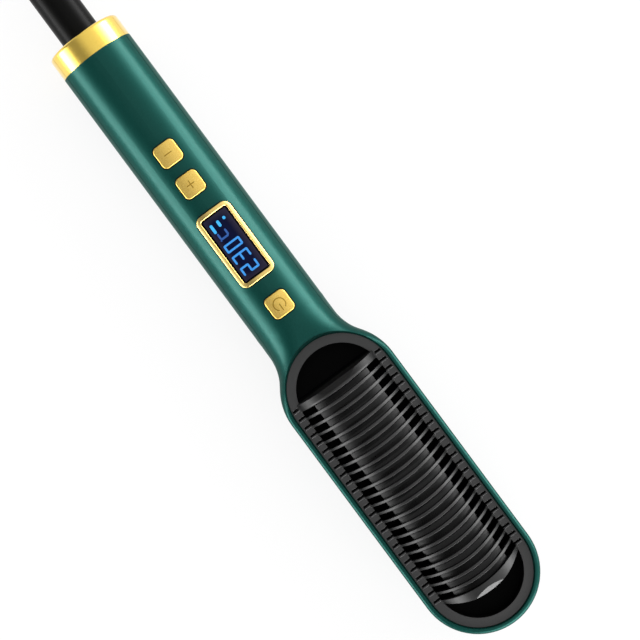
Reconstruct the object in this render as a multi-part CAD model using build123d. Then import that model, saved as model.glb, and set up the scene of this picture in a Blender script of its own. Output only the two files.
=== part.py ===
# A heated straightening comb: a round handle with three push buttons and a small
# temperature display, a long stadium-shaped head whose moulded comb arches over an
# aluminium heating plate, and a mains cord on a swivel at the back of the handle.
#
# Sizes are in millimetres. The comb lies on its back with its fins upwards (+Z), the
# tip of the head towards +X, and the origin under the middle of the object without
# its cord.

from build123d import *

from math import radians, sqrt, tan
import os

os.makedirs("parts", exist_ok=True)

# Overall sizes of the handle and the head
handle_diameter = 32.0
head_width = 49.6
head_length = 139.8
body_length = 289.4  # back of the collar to the tip of the head
rim_height = 27.5  # table to the lip round the comb
wall = 2.0
part_height = 22.7  # the seam between the front and the back housing
seam_gap = 0.35
seam_depth = 0.8

# How the neck blends the handle into the head
neck_length = 36.4  # before the centre of the head's round end
neck_fillet = 20.0
neck_steps = 13
low_radius = 15.0  # rounding of the head's back edge
lip_radius = 1.8
least_radius = 0.3
tiny_flat = 0.05  # half of the flat that keeps every cross-section alike

# Fits between pieces
gap = 0.3  # free space round a piece that drops into another
slide_gap = 0.2  # round a button in its window
turn_gap = 0.1  # round a shaft that turns
snug_gap = 0.02  # round a ring pressed on a shaft

# Collar at the back of the handle
collar_length = 10.0
collar_wall = 2.0
collar_rounding = 1.5
spigot_radius = 14.0
spigot_length = 7.0

# Swivel of the cord
sleeve_radius = 8.25
sleeve_length = 26.0
sleeve_rounding = 1.2
flange_radius = 10.5
flange_thickness = 2.0
journal_radius = 5.5
journal_length = 14.0
bearing_thickness = 4.0
arm_thickness = 2.0
arm_height = 6.0
ring_thickness = 0.8
ring_width = 2.0
ring_spacing = 4.0
brush_height = 4.0

# Strain relief
boot_length = 36.0
boot_root_radius = 6.6
boot_end_radius = 4.2
boot_groove_count = 6
boot_groove_width = 1.6
boot_groove_depth = 0.9
boot_bridge = 2.2

# Opening of the head and the moulded comb in it
opening_radius = 22.4
opening_draft = 15.0  # degrees, so the lip leans outwards
ledge_width = 2.0
bezel_drop = 1.2  # lip to the flat face of the comb frame
flange_height = 1.6
bezel_width = 4.1
skirt_wall = 1.8
skirt_bottom = 14.0
fin_count = 25
fin_pitch = 3.9
fin_thickness = 1.1
fin_shift = -1.0  # middle of the fins from the middle of the head
arch_rise = 11.0  # crown of the fins above the frame's flat face
arch_overlap = 0.5  # how far out on that face the fins start
fin_web_depth = 8.0  # how far the fins reach below that face beside the plate
fin_height = 2.3  # fin above the plate's skin
first_bow = 1.2  # how far the first fin bows towards the tip
last_bow = 3.6
slot_width = 0.9
slot_length = 3.1
slot_depth = 1.2
slot_inset = 0.15  # free of the fin's own face
toe_hood_bow = 3.0
toe_bevel = 2.0  # sloping edge of the toe hood, at its middle
heel_hood_length = 4.5
heel_edge = 1.7  # from the first fin's middle back to the heel hood's upper edge
heel_bow = 0.1
hood_slope = 40.0  # degrees
hood_draft = 6.0  # degrees, of the heel hood's wall in the recess

# Heating plate and what lies under it
plate_half_width = 12.7
plate_wall = 2.2
plate_web = 2.4
rib_height = 1.4
rib_inset = 0.4
tray_thickness = 1.6
plinth_height = 1.5
spring_thickness = 0.8
spring_window = (16.0, 6.0)
mica_thickness = 0.5
ceramic_thickness = 1.6
ceramic_width = 18.0
sensor_radius = 0.7
sensor_length = 5.0
sensor_spread = 4.0  # from the plate's middle
sensor_bay = 12.6  # between the two ceramic heaters

# Buttons and display, measured back from where the neck starts
minus_place = 78.9
plus_place = 63.9
display_place = 34.5
power_place = 5.2
button_size = 9.6
button_corner = 2.0
button_edge = 0.4  # rounding round the top of a button
button_proud = 0.8
button_flange = 0.7
button_flange_thickness = 0.9
stem_radius = 2.2
button_travel = 0.5
switch_size = 6.0
switch_height = 3.5
plunger_radius = 1.75
plunger_rise = 1.2
plunger_sunk = 1.4
frame_length = 33.8
frame_width = 16.0
frame_corner = 3.0
frame_round = 0.5  # of the frame's top edges
frame_border = 1.9
frame_proud = 0.7
frame_flange = 0.8
frame_flange_thickness = 0.9
lens_thickness = 3.6
lens_recess = 0.45
display_length = 29.0
display_width = 11.0

# Circuit boards and what stands on them
board_thickness = 1.2
control_height = 21.5  # top of the upper board
control_margin = 6.0  # board beyond the middle of the first and the last button
control_width = 22.0
shelf_length = 4.0
power_board_height = 10.0  # top of the lower board
power_board_start = 31.0  # from the back of the collar
power_board_stop = 4.0  # before the neck
power_board_width = 17.0
post_radius = 2.0
fuse_radius = 2.6
fuse_length = 20.0
fuse_cap_length = 5.0
fuse_glass_inset = 0.3
film_size = (13.0, 6.0, 8.5)
film_corner = 0.8
can_radius = 4.0
can_length = 13.0
triac_size = (4.6, 10.0, 8.6)
triac_hole_radius = 1.6
triac_hole_drop = 3.0
header_size = (10.2, 2.5)

# Screws
screw_head_radius = 2.6
screw_head_height = 1.8
screw_sink = 0.8
screw_shank_radius = 1.1
screw_length = 11.0
boss_radius = 3.2
tray_post_radius = 3.2
boss_top = 8.0
rear_screw_place = 22.0  # from the back of the collar
neck_screw_place = 5.5  # past the start of the neck
head_screw_inset = 16.0  # from the centres of the head's round ends
tray_screw_head = 1.9
tray_screw_head_height = 1.2
tray_screw_radius = 0.88
tray_screw_length = 7.0

# Mains cord
cord_diameter = 6.0
cord_sides = 8
arc_share = 0.45  # of the shorter run beside a corner
hank_run = 70.0
hank_fold = 23.0  # radius of the outermost half turns
hank_fold_step = 3.5  # change of radius from one half turn to the next
hank_folds = 11
layer_folds = 3
hank_layer = 6.9  # from one layer to the next
hank_draw = 5.0  # how far the tie draws each run in
tie_thickness = 0.8
tie_width = 12.0
tie_gap = 0.5  # beside the outermost runs
tie_corner = 2.5
wire_radius = 0.9  # inside the handle
wire_sides = 6
wire_spread = 6.0  # from the handle's middle
wire_run = 4.0

# Mains plug
plug_width = 35.3
plug_thickness = 13.7
plug_length = 26.0
plug_corner = 4.8
plug_face = 3.0
plug_shoulder = (13.2, 11.2)
plug_neck_length = 16.0
plug_neck_radius = 4.6
plug_neck_wall = 0.8
pin_chamfer = 0.8
pin_radius = 2.0
pin_length = 19.0
pin_spacing = 18.6

# Places along the object
tip_x = (body_length + sleeve_length + boot_length) / 2
rear_x = tip_x - body_length
sleeve_end_x = rear_x - sleeve_length
exit_x = sleeve_end_x - boot_length
toe_x = tip_x - head_width / 2  # centres of the head's two round ends
heel_x = tip_x - head_length + head_width / 2
middle_x = (heel_x + toe_x) / 2
neck_x = heel_x - neck_length
handle_radius = handle_diameter / 2
axis_z = handle_radius

# Heights and radii in the head
bezel_z = rim_height - bezel_drop
ledge_z = bezel_z - flange_height
ledge_radius = opening_radius - ledge_width
frame_radius = opening_radius - gap
inner_radius = frame_radius - bezel_width + gap
skirt_radius = ledge_radius - gap
arch_half_span = inner_radius + arch_overlap
arch_radius = (arch_half_span**2 + arch_rise**2) / (2 * arch_rise)
arch_z = bezel_z + arch_rise - arch_radius
skin_radius = arch_radius - fin_height - gap
fin_bottom = bezel_z - fin_web_depth
fin_half = fin_thickness / 2
fin_reach = inner_radius + skirt_wall / 2
arch_crown = arch_z + arch_radius
slot_end = inner_radius + slot_length
tray_z = skirt_bottom
plinth_z = tray_z + plinth_height
spring_z = plinth_z + spring_thickness
mica_z = spring_z + mica_thickness
plate_z = mica_z + ceramic_thickness
plate_floor = plate_z + plate_wall

# Places of the fins
first_fin_x = middle_x + fin_shift - fin_pitch * (fin_count - 1) / 2
last_fin_x = first_fin_x + fin_pitch * (fin_count - 1)

# Heights in the handle
crown_z = handle_diameter
button_radius = handle_radius + button_proud
inner_crown = handle_radius - wall
board_start_x = rear_x + power_board_start
board_end_x = neck_x - power_board_stop
switch_top = control_height + switch_height
plunger_top = switch_top + plunger_rise
plunger_bottom = switch_top - plunger_sunk
display_x = neck_x - display_place
button_places = {
    "minus": neck_x - minus_place,
    "plus": neck_x - plus_place,
    "power": neck_x - power_place,
}
control_start_x = button_places["minus"] - control_margin
control_end_x = button_places["power"] + control_margin


def ring_z(radius, half_width):
    # Height of a cylinder along the handle's axis at a distance from its crown line.
    return axis_z + sqrt(radius**2 - half_width**2)


def block(x0, x1, y0, y1, z0, z1):
    middle = Pos((x0 + x1) / 2, (y0 + y1) / 2, (z0 + z1) / 2)
    return middle * Box(x1 - x0, y1 - y0, z1 - z0)


def rod(x0, x1, radius, y=0.0, z=axis_z):
    return Pos((x0 + x1) / 2, y, z) * Rot(0, 90, 0) * Cylinder(radius, x1 - x0)


def post(x, y, z0, z1, radius):
    return Pos(x, y, (z0 + z1) / 2) * Cylinder(radius, z1 - z0)


def stadium(radius, z0, z1):
    outline = SlotCenterToCenter(toe_x - heel_x, 2 * radius)
    return extrude(Pos(middle_x, 0, z0) * outline, z1 - z0)


def section(x, half_width, top, low, high, inset):
    # A closed section across the body; inset makes the same one for a wall's inside.
    w, base, crown = half_width - inset, inset, top - inset
    low = low - inset
    high = max(high - inset, least_radius)
    edges = (
        Line((low - w, base), (w - low, base))
        + CenterArc((w - low, base + low), low, -90, 90)
        + Line((w, base + low), (w, crown - high))
        + CenterArc((w - high, crown - high), high, 0, 90)
        + Line((w - high, crown), (high - w, crown))
        + CenterArc((high - w, crown - high), high, 90, 90)
        + Line((-w, crown - high), (-w, base + low))
        + CenterArc((low - w, base + low), low, 180, 90)
    )
    return Plane.YZ.offset(x) * make_face(edges)


def ease(start, end, share):
    return start + (end - start) * share * share * (3 - 2 * share)


def neck_section(x, inset):
    # The plan runs straight, turns out on the neck's fillet and ends on the head's round.
    share = (x - neck_x) / (heel_x - neck_x)
    head_radius = head_width / 2
    reach = head_radius + neck_fillet
    fillet_y = handle_radius + neck_fillet
    fillet_x = heel_x - sqrt(reach**2 - fillet_y**2)
    meet_x = heel_x - head_radius * (heel_x - fillet_x) / reach
    if x <= fillet_x:
        half_width = handle_radius
    elif x <= meet_x:
        half_width = fillet_y - sqrt(neck_fillet**2 - (x - fillet_x) ** 2)
    else:
        half_width = sqrt(head_radius**2 - (heel_x - x) ** 2)
    round_radius = handle_radius - tiny_flat
    return section(
        x,
        half_width,
        ease(handle_diameter, rim_height, share),
        ease(round_radius, low_radius, share),
        ease(round_radius, lip_radius, share),
        inset,
    )


def body(inset, start_x):
    # The whole outside of the housing, or its inside when inset by the wall.
    step = (heel_x - neck_x) / neck_steps
    sections = [neck_section(neck_x + step * n, inset) for n in range(neck_steps + 1)]
    handle = extrude(neck_section(neck_x, inset), start_x - neck_x)
    head = extrude(neck_section(heel_x, inset), toe_x - heel_x)
    half = neck_section(heel_x, inset) & block(
        heel_x - 1, heel_x + 1, 0, head_width, -1, crown_z
    )
    toe = revolve(Pos(toe_x - heel_x, 0, 0) * half, Axis((toe_x, 0, 0), (0, 0, -1)), 180)
    return handle + loft(sections) + head + toe


def above(z):
    return block(rear_x - 5, tip_x + 5, -head_width, head_width, z, crown_z + 20)


def below(z):
    return block(rear_x - 5, tip_x + 5, -head_width, head_width, -5, z)


def rounded_prism(x, length, width, corner, z0, z1):
    return extrude(Pos(x, 0, z0) * RectangleRounded(length, width, corner), z1 - z0)


front_x = rear_x + collar_length
spigot_x = front_x - spigot_length
outer_body = body(0.0, front_x)
inner_body = body(wall, front_x + wall)
spigot_bore = rod(spigot_x - 1, front_x + wall, spigot_radius - wall)
screw_places = (
    rear_x + rear_screw_place,
    neck_x + neck_screw_place,
    heel_x + head_screw_inset,
    toe_x - head_screw_inset,
)


def housing_half(keep):
    blank = outer_body + rod(spigot_x, front_x, spigot_radius)
    return blank & keep


def front_housing():
    shell = housing_half(above(part_height)) - spigot_bore
    cavity_end = heel_x - opening_radius - wall
    cavity = inner_body & block(
        rear_x, cavity_end, -head_width, head_width, 0, crown_z + 1
    )
    shell -= cavity
    shell -= stadium(ledge_radius, part_height - 1, ledge_z + 1)
    shell -= stadium(opening_radius, ledge_z, bezel_z)
    lip = Pos(middle_x, 0, bezel_z) * SlotCenterToCenter(
        toe_x - heel_x, 2 * opening_radius
    )
    shell -= extrude(lip, crown_z - bezel_z, taper=-opening_draft)
    for place in screw_places[:2]:
        column = post(place, 0, boss_top, crown_z - wall / 2, boss_radius)
        shell += column - (
            post(place, 0, boss_top, boss_top + screw_length, screw_shank_radius)
        )
    seam = outer_body - body(seam_depth, front_x)
    seam &= block(
        rear_x, tip_x + 1, -head_width, head_width, part_height, part_height + seam_gap
    )
    shell -= seam
    window = button_size + 2 * slide_gap
    for x in button_places.values():
        shell -= rounded_prism(
            x, window, window, button_corner, part_height, crown_z + 2
        )
    shell -= rounded_prism(
        display_x,
        frame_length + slide_gap,
        frame_width + slide_gap,
        frame_corner,
        part_height,
        crown_z + 2,
    )
    return shell


def back_housing():
    shell = housing_half(below(part_height)) - spigot_bore - inner_body
    inside = body(wall / 2, front_x)
    for place in screw_places:
        shell += post(place, 0, wall / 2, boss_top, boss_radius)
    board_middle = (board_start_x + board_end_x) / 2
    inset = 2 * post_radius
    for x in (board_start_x + inset, board_middle, board_end_x - inset):
        for side in (-1, 1):
            y = side * (power_board_width / 2 - post_radius)
            leg = post(x, y, 0, power_board_height - board_thickness, post_radius)
            shell += leg & inside
    shelf_top = control_height - board_thickness
    for x in (control_start_x, control_end_x - shelf_length):
        for side in (-1, 1):
            near, far = side * (control_width / 2 - 1), side * handle_radius
            shelf = block(
                x,
                x + shelf_length,
                min(near, far),
                max(near, far),
                power_board_height + board_thickness,
                shelf_top,
            )
            shell += shelf & inside
    sink = screw_sink + screw_head_height
    for place in screw_places:
        shell -= post(place, 0, -1, sink, screw_head_radius + gap)
        shell -= post(place, 0, 0, boss_top + 1, screw_shank_radius + gap)
    return shell


def housing_screws():
    head_top = screw_sink + screw_head_height
    shank_top = head_top + screw_length - 1.0
    screws = []
    for place in screw_places:
        screw = post(place, 0, screw_sink, head_top, screw_head_radius)
        screw += post(place, 0, head_top, shank_top, screw_shank_radius - snug_gap)
        screws.append(screw)
    return Compound(children=screws)


def gold_collar():
    ring = rod(rear_x, front_x, handle_radius)
    rim = ring.edges().filter_by(GeomType.CIRCLE).sort_by(Axis.X)[0]
    ring = fillet(rim, collar_rounding)
    ring -= rod(rear_x + collar_wall, front_x + 1, spigot_radius + turn_gap)
    ring -= rod(rear_x - 1, front_x, sleeve_radius + turn_gap)
    skin = rod(rear_x - 1, front_x + 1, handle_radius + 1)
    skin -= rod(rear_x - 1, front_x + 1, handle_radius - seam_gap)
    groove = block(
        rear_x - 1,
        front_x + 1,
        -head_width,
        head_width,
        part_height,
        part_height + seam_gap,
    )
    return ring - (skin & groove)


flange_x = rear_x + collar_wall + turn_gap
journal_x = flange_x + flange_thickness
bearing_x = journal_x + turn_gap
first_ring_x = bearing_x + bearing_thickness + ring_width
ring_places = (first_ring_x, first_ring_x + ring_spacing)
ring_radius = journal_radius + ring_thickness


def swivel_sleeve():
    sleeve = rod(sleeve_end_x, flange_x, sleeve_radius)
    edge = sleeve.edges().filter_by(GeomType.CIRCLE).sort_by(Axis.X)[0]
    sleeve = fillet(edge, sleeve_rounding)
    sleeve += rod(flange_x, journal_x, flange_radius)
    return sleeve + rod(journal_x, journal_x + journal_length, journal_radius)


def contact_rings():
    rings = []
    for x in ring_places:
        ring = rod(x, x + ring_width, ring_radius)
        rings.append(ring - rod(x - 1, x + 5, journal_radius + snug_gap))
    return Compound(children=rings)


def swivel_bearing():
    disc_end = bearing_x + bearing_thickness
    arm_end = ring_places[1] + ring_width
    bearing = rod(bearing_x, disc_end, spigot_radius - wall - turn_gap)
    bearing -= rod(bearing_x - 1, disc_end + 1, journal_radius + turn_gap)
    for side in (-1, 1):
        y = side * (ring_radius + turn_gap + brush_height / 2 + arm_thickness / 2)
        bearing += block(
            disc_end - 1,
            arm_end,
            y - arm_thickness / 2,
            y + arm_thickness / 2,
            axis_z - arm_height / 2,
            axis_z + arm_height / 2,
        )
    return bearing


def brush_contacts():
    brushes = []
    for x, side in zip(ring_places, (-1, 1)):
        near = side * (ring_radius + turn_gap)
        far = side * (ring_radius + turn_gap + brush_height / 2)
        brushes.append(
            block(
                x, x + ring_width, min(near, far), max(near, far), axis_z - 2, axis_z + 2
            )
        )
    return Compound(children=brushes)


def strain_relief():
    boot = Pos(exit_x, 0, axis_z) * Rot(0, 90, 0) * Cone(
        boot_end_radius,
        boot_root_radius,
        boot_length,
        align=(Align.CENTER, Align.CENTER, Align.MIN),
    )
    spacing = boot_length / (boot_groove_count + 2)
    for n in range(boot_groove_count):
        x = exit_x + spacing * (n + 1)
        taper = (x - exit_x) / boot_length
        radius = boot_end_radius + (boot_root_radius - boot_end_radius) * taper
        groove = rod(x, x + boot_groove_width, boot_root_radius + 1)
        groove -= rod(x - 1, x + boot_groove_width + 1, radius - boot_groove_depth)
        # Two bridges cross each groove, turned a quarter from those beside it
        bridge = Rot(90 * (n % 2), 0, 0) * Box(
            2 * boot_groove_width, 4 * boot_root_radius, boot_bridge
        )
        boot -= groove - Pos(x + boot_groove_width / 2, 0, axis_z) * bridge
    return boot


def bow_of(x):
    # Fins bow towards the tip, and more so the nearer they are to it.
    share = (x - first_fin_x) / (last_fin_x - first_fin_x)
    return first_bow + (last_bow - first_bow) * share


def bowed_strip(x0, x1, bow0, bow1, z0, z1):
    # An upright strip across the comb between two edges that bow towards the tip.
    reach = fin_reach
    edges = (
        ThreePointArc((x0, -reach), (x0 + bow0, 0), (x0, reach))
        + Line((x0, reach), (x1, reach))
        + ThreePointArc((x1, reach), (x1 + bow1, 0), (x1, -reach))
        + Line((x1, -reach), (x0, -reach))
    )
    return Pos(0, 0, z0) * extrude(make_face(edges), z1 - z0)


def arch(radius, x0, x1, half_width, z0):
    # A rounded bar along the head whose top follows the arch of the fins.
    bar = rod(x0, x1, radius, z=arch_z)
    return bar & block(x0, x1, -half_width, half_width, z0, arch_z + radius + 1)


def fin_x(number):
    return first_fin_x + fin_pitch * number


def hood(x0, x1, bow0, bow1):
    # A solid end of the comb, from the table of the tray up to the fins' arch.
    strip = bowed_strip(x0, x1, bow0, bow1, skirt_bottom, arch_crown + 1)
    strip &= stadium(fin_reach, skirt_bottom, arch_crown + 1)
    start, end = heel_x - opening_radius, toe_x + opening_radius
    return strip & arch(arch_radius, start, end, fin_reach, skirt_bottom)


def hood_cutter():
    return block(-head_width, head_width, -head_width, head_width, 0, head_width)


def toe_hood():
    outer_bow = last_bow + toe_hood_bow
    solid = hood(last_fin_x - fin_half, last_fin_x + fin_half, last_bow, outer_bow)
    bevel_x = last_fin_x + fin_half + outer_bow - toe_bevel
    cut = Pos(bevel_x, 0, arch_crown) * Rot(0, hood_slope, 0)
    return solid - cut * hood_cutter()


def heel_hood():
    start = first_fin_x - heel_hood_length
    solid = hood(start, first_fin_x + fin_half, heel_bow, first_bow)
    top_x = first_fin_x + first_bow - fin_half
    edge_x = first_fin_x - heel_edge
    edge_z = arch_crown - (top_x - edge_x) * tan(radians(hood_slope))
    slope = Pos(top_x, 0, arch_crown) * Rot(0, -hood_slope, 0)
    wall_face = Pos(edge_x, 0, edge_z) * Rot(0, hood_draft - 90, 0)
    return solid - slope * hood_cutter() - wall_face * hood_cutter()


def fins():
    start, end = heel_x - opening_radius, toe_x + opening_radius
    envelope = arch(arch_radius, start, end, fin_reach, fin_bottom)
    tunnel = arch(
        skin_radius + gap, start - 1, end + 1, plate_half_width + gap, fin_bottom - 1
    )
    envelope -= tunnel
    strips = []
    for n in range(fin_count):
        x = fin_x(n)
        bow = bow_of(x)
        strips.append(
            bowed_strip(x - fin_half, x + fin_half, bow, bow, fin_bottom, arch_crown + 1)
            & envelope
        )
    return strips


def fin_slots():
    # A short slot in the flat face on the handle's side of each end of each fin.
    slots = []
    for n in range(fin_count):
        x1 = fin_x(n) - fin_half - slot_inset
        for side in (-1, 1):
            ends = sorted((side * (inner_radius - slot_inset), side * slot_end))
            slots.append(
                block(x1 - slot_width, x1, *ends, bezel_z - slot_depth, bezel_z + 0.5)
            )
    return slots


def comb_frame():
    frame = stadium(frame_radius, ledge_z, bezel_z)
    frame += stadium(skirt_radius, skirt_bottom, ledge_z)
    frame -= stadium(inner_radius, skirt_bottom - 1, bezel_z + 1)
    frame -= fin_slots()
    frame = frame.fuse(*fins(), toe_hood(), heel_hood())
    for place in tray_screw_places():
        bore_end = skirt_bottom + tray_screw_length
        frame -= post(place, 0, skirt_bottom - 1, bore_end, tray_screw_radius + snug_gap)
    return frame


def tray_screw_places():
    toe_place = last_fin_x + last_bow + toe_hood_bow / 2
    return (first_fin_x - heel_hood_length / 2 + fin_half, toe_place)


def plate_core(side, start, end):
    # A hollow along one side of the plate, closed over by its skin and floor.
    inner = arch(
        skin_radius - plate_wall, start - 5, end + 5, plate_half_width, plate_floor
    )
    near, far = side * plate_web / 2, side * (plate_half_width - plate_wall)
    room = block(
        start - 5, end + 5, min(near, far), max(near, far), plate_floor, arch_crown
    )
    return inner & room


def heater_plate():
    half = fin_half + gap
    start, end = first_fin_x + half, last_fin_x - half
    plate = bowed_strip(start, end, first_bow, last_bow, plate_z, arch_crown)
    plate &= arch(skin_radius, start - 5, end + 5, plate_half_width, plate_z)
    plate = plate - plate_core(-1, start, end) - plate_core(1, start, end)
    rib_room = arch(
        skin_radius + rib_height,
        start - 5,
        end + 5,
        plate_half_width - rib_inset,
        plate_floor,
    )
    rib_room -= arch(
        skin_radius - plate_wall / 2, start - 6, end + 6, head_width, plate_floor - 1
    )
    rib_half = fin_pitch / 2 - half
    for n in range(0, fin_count - 1, 2):
        x = fin_x(n + 0.5)
        bow = bow_of(x)
        rib = bowed_strip(x - rib_half, x + rib_half, bow, bow, plate_floor, arch_crown)
        plate += rib & rib_room
    return plate


stack_start = first_fin_x + heel_hood_length
stack_end = last_fin_x - heel_hood_length
ceramic_length = (stack_end - stack_start - sensor_bay) / 2


def stack_layer(z0, z1, half_width):
    return block(stack_start, stack_end, -half_width, half_width, z0, z1)


def pressure_spring():
    sheet = stack_layer(plinth_z, spring_z, ceramic_width / 2)
    length, width = spring_window
    for x in (stack_start + ceramic_length / 2, stack_end - ceramic_length / 2):
        sheet -= Pos(x, 0, spring_z) * Box(length, width, 3 * spring_thickness)
    return sheet


def ceramic_heaters():
    strips = []
    for x0 in (stack_start, stack_end - ceramic_length):
        strips.append(
            block(
                x0,
                x0 + ceramic_length,
                -ceramic_width / 2,
                ceramic_width / 2,
                mica_z,
                plate_z,
            )
        )
    return Compound(children=strips)


def heater_tray():
    tray = stadium(skirt_radius, tray_z - tray_thickness, tray_z)
    tray += stack_layer(tray_z, plinth_z, ceramic_width / 2)
    for place in screw_places[2:]:
        tray += post(place, 0, boss_top, tray_z - tray_thickness / 2, tray_post_radius)
        tray -= post(place, 0, boss_top - 1, boss_top + screw_length, screw_shank_radius)
    for place in tray_screw_places():
        tray -= post(
            place, 0, tray_z - tray_thickness - 1, tray_z + 1, screw_shank_radius
        )
    return tray


def tray_screws():
    top = tray_z - tray_thickness
    screws = []
    for place in tray_screw_places():
        head = post(place, 0, top - tray_screw_head_height, top, tray_screw_head)
        shank_end = tray_z + tray_screw_length - 1
        screws.append(head + post(place, 0, top, shank_end, tray_screw_radius))
    return Compound(children=screws)


sensor_x = (stack_start + stack_end) / 2


def thermistor():
    return rod(
        sensor_x - sensor_length / 2,
        sensor_x + sensor_length / 2,
        sensor_radius,
        y=-sensor_spread,
        z=mica_z + sensor_radius,
    )


def thermal_fuse():
    return rod(
        sensor_x - sensor_length / 2,
        sensor_x + sensor_length / 2,
        sensor_radius,
        y=sensor_spread,
        z=mica_z + sensor_radius,
    )


def push_button(x):
    flange_half = button_size / 2 + button_flange
    flange_top = ring_z(inner_crown, flange_half) - gap
    flange_low = flange_top - button_flange_thickness
    cap = rounded_prism(
        x, button_size, button_size, button_corner, flange_low, crown_z + 3
    )
    cap &= rod(x - 20, x + 20, button_radius)
    cap = fillet(cap.faces().sort_by(Axis.Z)[-1].edges(), button_edge)
    flange = rounded_prism(
        x,
        2 * flange_half,
        2 * flange_half,
        button_corner,
        flange_low,
        flange_top,
    )
    stem = post(x, 0, plunger_top, flange_low, stem_radius)
    return cap + flange + stem


def plunger(x):
    return post(x, 0, plunger_bottom, plunger_top, plunger_radius)


def tact_switch(x):
    half = switch_size / 2
    case = block(x - half, x + half, -half, half, control_height, switch_top)
    bottom = plunger_bottom - button_travel - gap
    return case - post(x, 0, bottom, switch_top + 1, plunger_radius + turn_gap)


def display_frame():
    x = display_x
    frame_z = ring_z(inner_crown, frame_width / 2 + frame_flange) - gap
    low = frame_z - frame_flange_thickness
    window = rounded_prism(
        x,
        frame_length - 2 * frame_border,
        frame_width - 2 * frame_border,
        frame_corner - frame_border,
        low - 1,
        crown_z + 3,
    )
    ring = rounded_prism(x, frame_length, frame_width, frame_corner, low, crown_z + 3)
    ring &= rod(x - frame_length, x + frame_length, handle_radius + frame_proud)
    ring -= window
    ring = fillet(ring.faces().sort_by(Axis.Z)[-1].edges(), frame_round)
    ring += rounded_prism(
        x,
        frame_length + 2 * frame_flange,
        frame_width + 2 * frame_flange,
        frame_corner,
        low,
        frame_z,
    )
    return ring - window


lens_radius = handle_radius + frame_proud - lens_recess
lens_bottom = axis_z + lens_radius - lens_thickness


def display_lens():
    x = display_x
    lens = rounded_prism(
        x,
        frame_length - 2 * frame_border - slide_gap,
        frame_width - 2 * frame_border - slide_gap,
        frame_corner - frame_border - slide_gap / 2,
        lens_bottom,
        crown_z + 3,
    )
    return lens & rod(x - 30, x + 30, lens_radius)


def display_module():
    x = display_x
    return block(
        x - display_length / 2,
        x + display_length / 2,
        -display_width / 2,
        display_width / 2,
        control_height,
        lens_bottom,
    )


def control_board():
    return block(
        control_start_x,
        control_end_x,
        -control_width / 2,
        control_width / 2,
        control_height - board_thickness,
        control_height,
    )


def power_board():
    return block(
        board_start_x,
        board_end_x,
        -power_board_width / 2,
        power_board_width / 2,
        power_board_height - board_thickness,
        power_board_height,
    )


component_lengths = (fuse_length, film_size[0], can_length, triac_size[0], header_size[0])
component_room = board_end_x - board_start_x - sum(component_lengths)
component_gap = component_room / (len(component_lengths) + 1)


def component_x(number):
    # The components stand in a row along the board with even gaps.
    before = sum(component_lengths[:number]) + component_lengths[number] / 2
    return board_start_x + component_gap * (number + 1) + before


def mains_fuse():
    x = component_x(0)
    z = power_board_height + fuse_radius
    start, end = x - fuse_length / 2, x + fuse_length / 2
    fuse = rod(start, end, fuse_radius - fuse_glass_inset, z=z)
    for cap in (start, end - fuse_cap_length):
        fuse += rod(cap, cap + fuse_cap_length, fuse_radius, z=z)
    return fuse


def film_capacitor():
    x = component_x(1)
    length, width, height = film_size
    case = block(
        x - length / 2,
        x + length / 2,
        -width / 2,
        width / 2,
        power_board_height,
        power_board_height + height,
    )
    return fillet(case.edges().filter_by(Axis.Z), film_corner)


def electrolytic_capacitor():
    x = component_x(2)
    return rod(
        x - can_length / 2,
        x + can_length / 2,
        can_radius,
        z=power_board_height + can_radius,
    )


def triac():
    x = component_x(3)
    thick, width, height = triac_size
    case = block(
        x - thick / 2,
        x + thick / 2,
        -width / 2,
        width / 2,
        power_board_height,
        power_board_height + height,
    )
    hole_z = power_board_height + height - triac_hole_drop
    return case - rod(x - thick, x + thick, triac_hole_radius, z=hole_z)


def board_header():
    x = component_x(4)
    length, width = header_size
    return block(
        x - length / 2,
        x + length / 2,
        -width / 2,
        width / 2,
        power_board_height,
        control_height - board_thickness,
    )


def cable_face(start, ahead, radius, sides):
    # The flat-sided section of a cable, with a flat on its underside.
    level = Plane(origin=start, x_dir=(0, 1, 0), z_dir=ahead)
    return level * RegularPolygon(radius, sides, major_radius=False, rotation=180 / sides)


def swept(path, start, ahead, radius, sides, name):
    face = cable_face(start, ahead, radius, sides)
    made = sweep(face, path=path)
    share = made.volume / (face.area * path.length)
    print(name, "length", round(path.length, 1), "volume share", round(share, 4))
    return made


def tube(points, radius, sides, name):
    # Straight runs, joined by arcs as large as the runs allow.
    corners = [Vector(*p) for p in points]
    radii = []
    for before, at, after in zip(corners, corners[1:], corners[2:]):
        run = min((at - before).length, (after - at).length)
        half_turn = radians((at - before).get_angle(after - at) / 2)
        radii.append(arc_share * run / tan(half_turn))
    path = FilletPolyline(*corners, radius=radii)
    print(name, "radii", [round(r, 1) for r in radii])
    return swept(path, corners[0], path % 0, radius, sides, name), path.length


cord_radius = cord_diameter / 2
hank_x = exit_x - 217.0  # where the first run of the hank starts
hank_z = tie_thickness + cord_radius  # middle of the lowest layer
hank_layers = 1 + hank_folds // layer_folds
hank_top_z = hank_z + hank_layer * (hank_layers - 1)
plug_x = exit_x - 132.0
plug_y = -7.6
plug_z = plug_thickness / 2

lead_route = (
    (exit_x, 0.0, axis_z),
    (exit_x - 22.0, 0.0, axis_z),
    (exit_x - 48.0, 3.5, 12.8),
    (exit_x - 74.0, 11.5, 7.6),
    (exit_x - 100.0, 19.0, 4.4),
    (exit_x - 128.0, hank_fold - 0.7, hank_z),
    (exit_x - 171.0, hank_fold, hank_z),
    (hank_x + cord_diameter, hank_fold, hank_z),
)
tail_route = (
    (hank_x + cord_diameter, -hank_fold, hank_top_z),
    (hank_x + 26.0, -hank_fold, hank_top_z),
    (hank_x + 46.0, -16.5, 15.5),
    (plug_x - 20.0, plug_y, plug_z),
    (plug_x, plug_y, plug_z),
)


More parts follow.
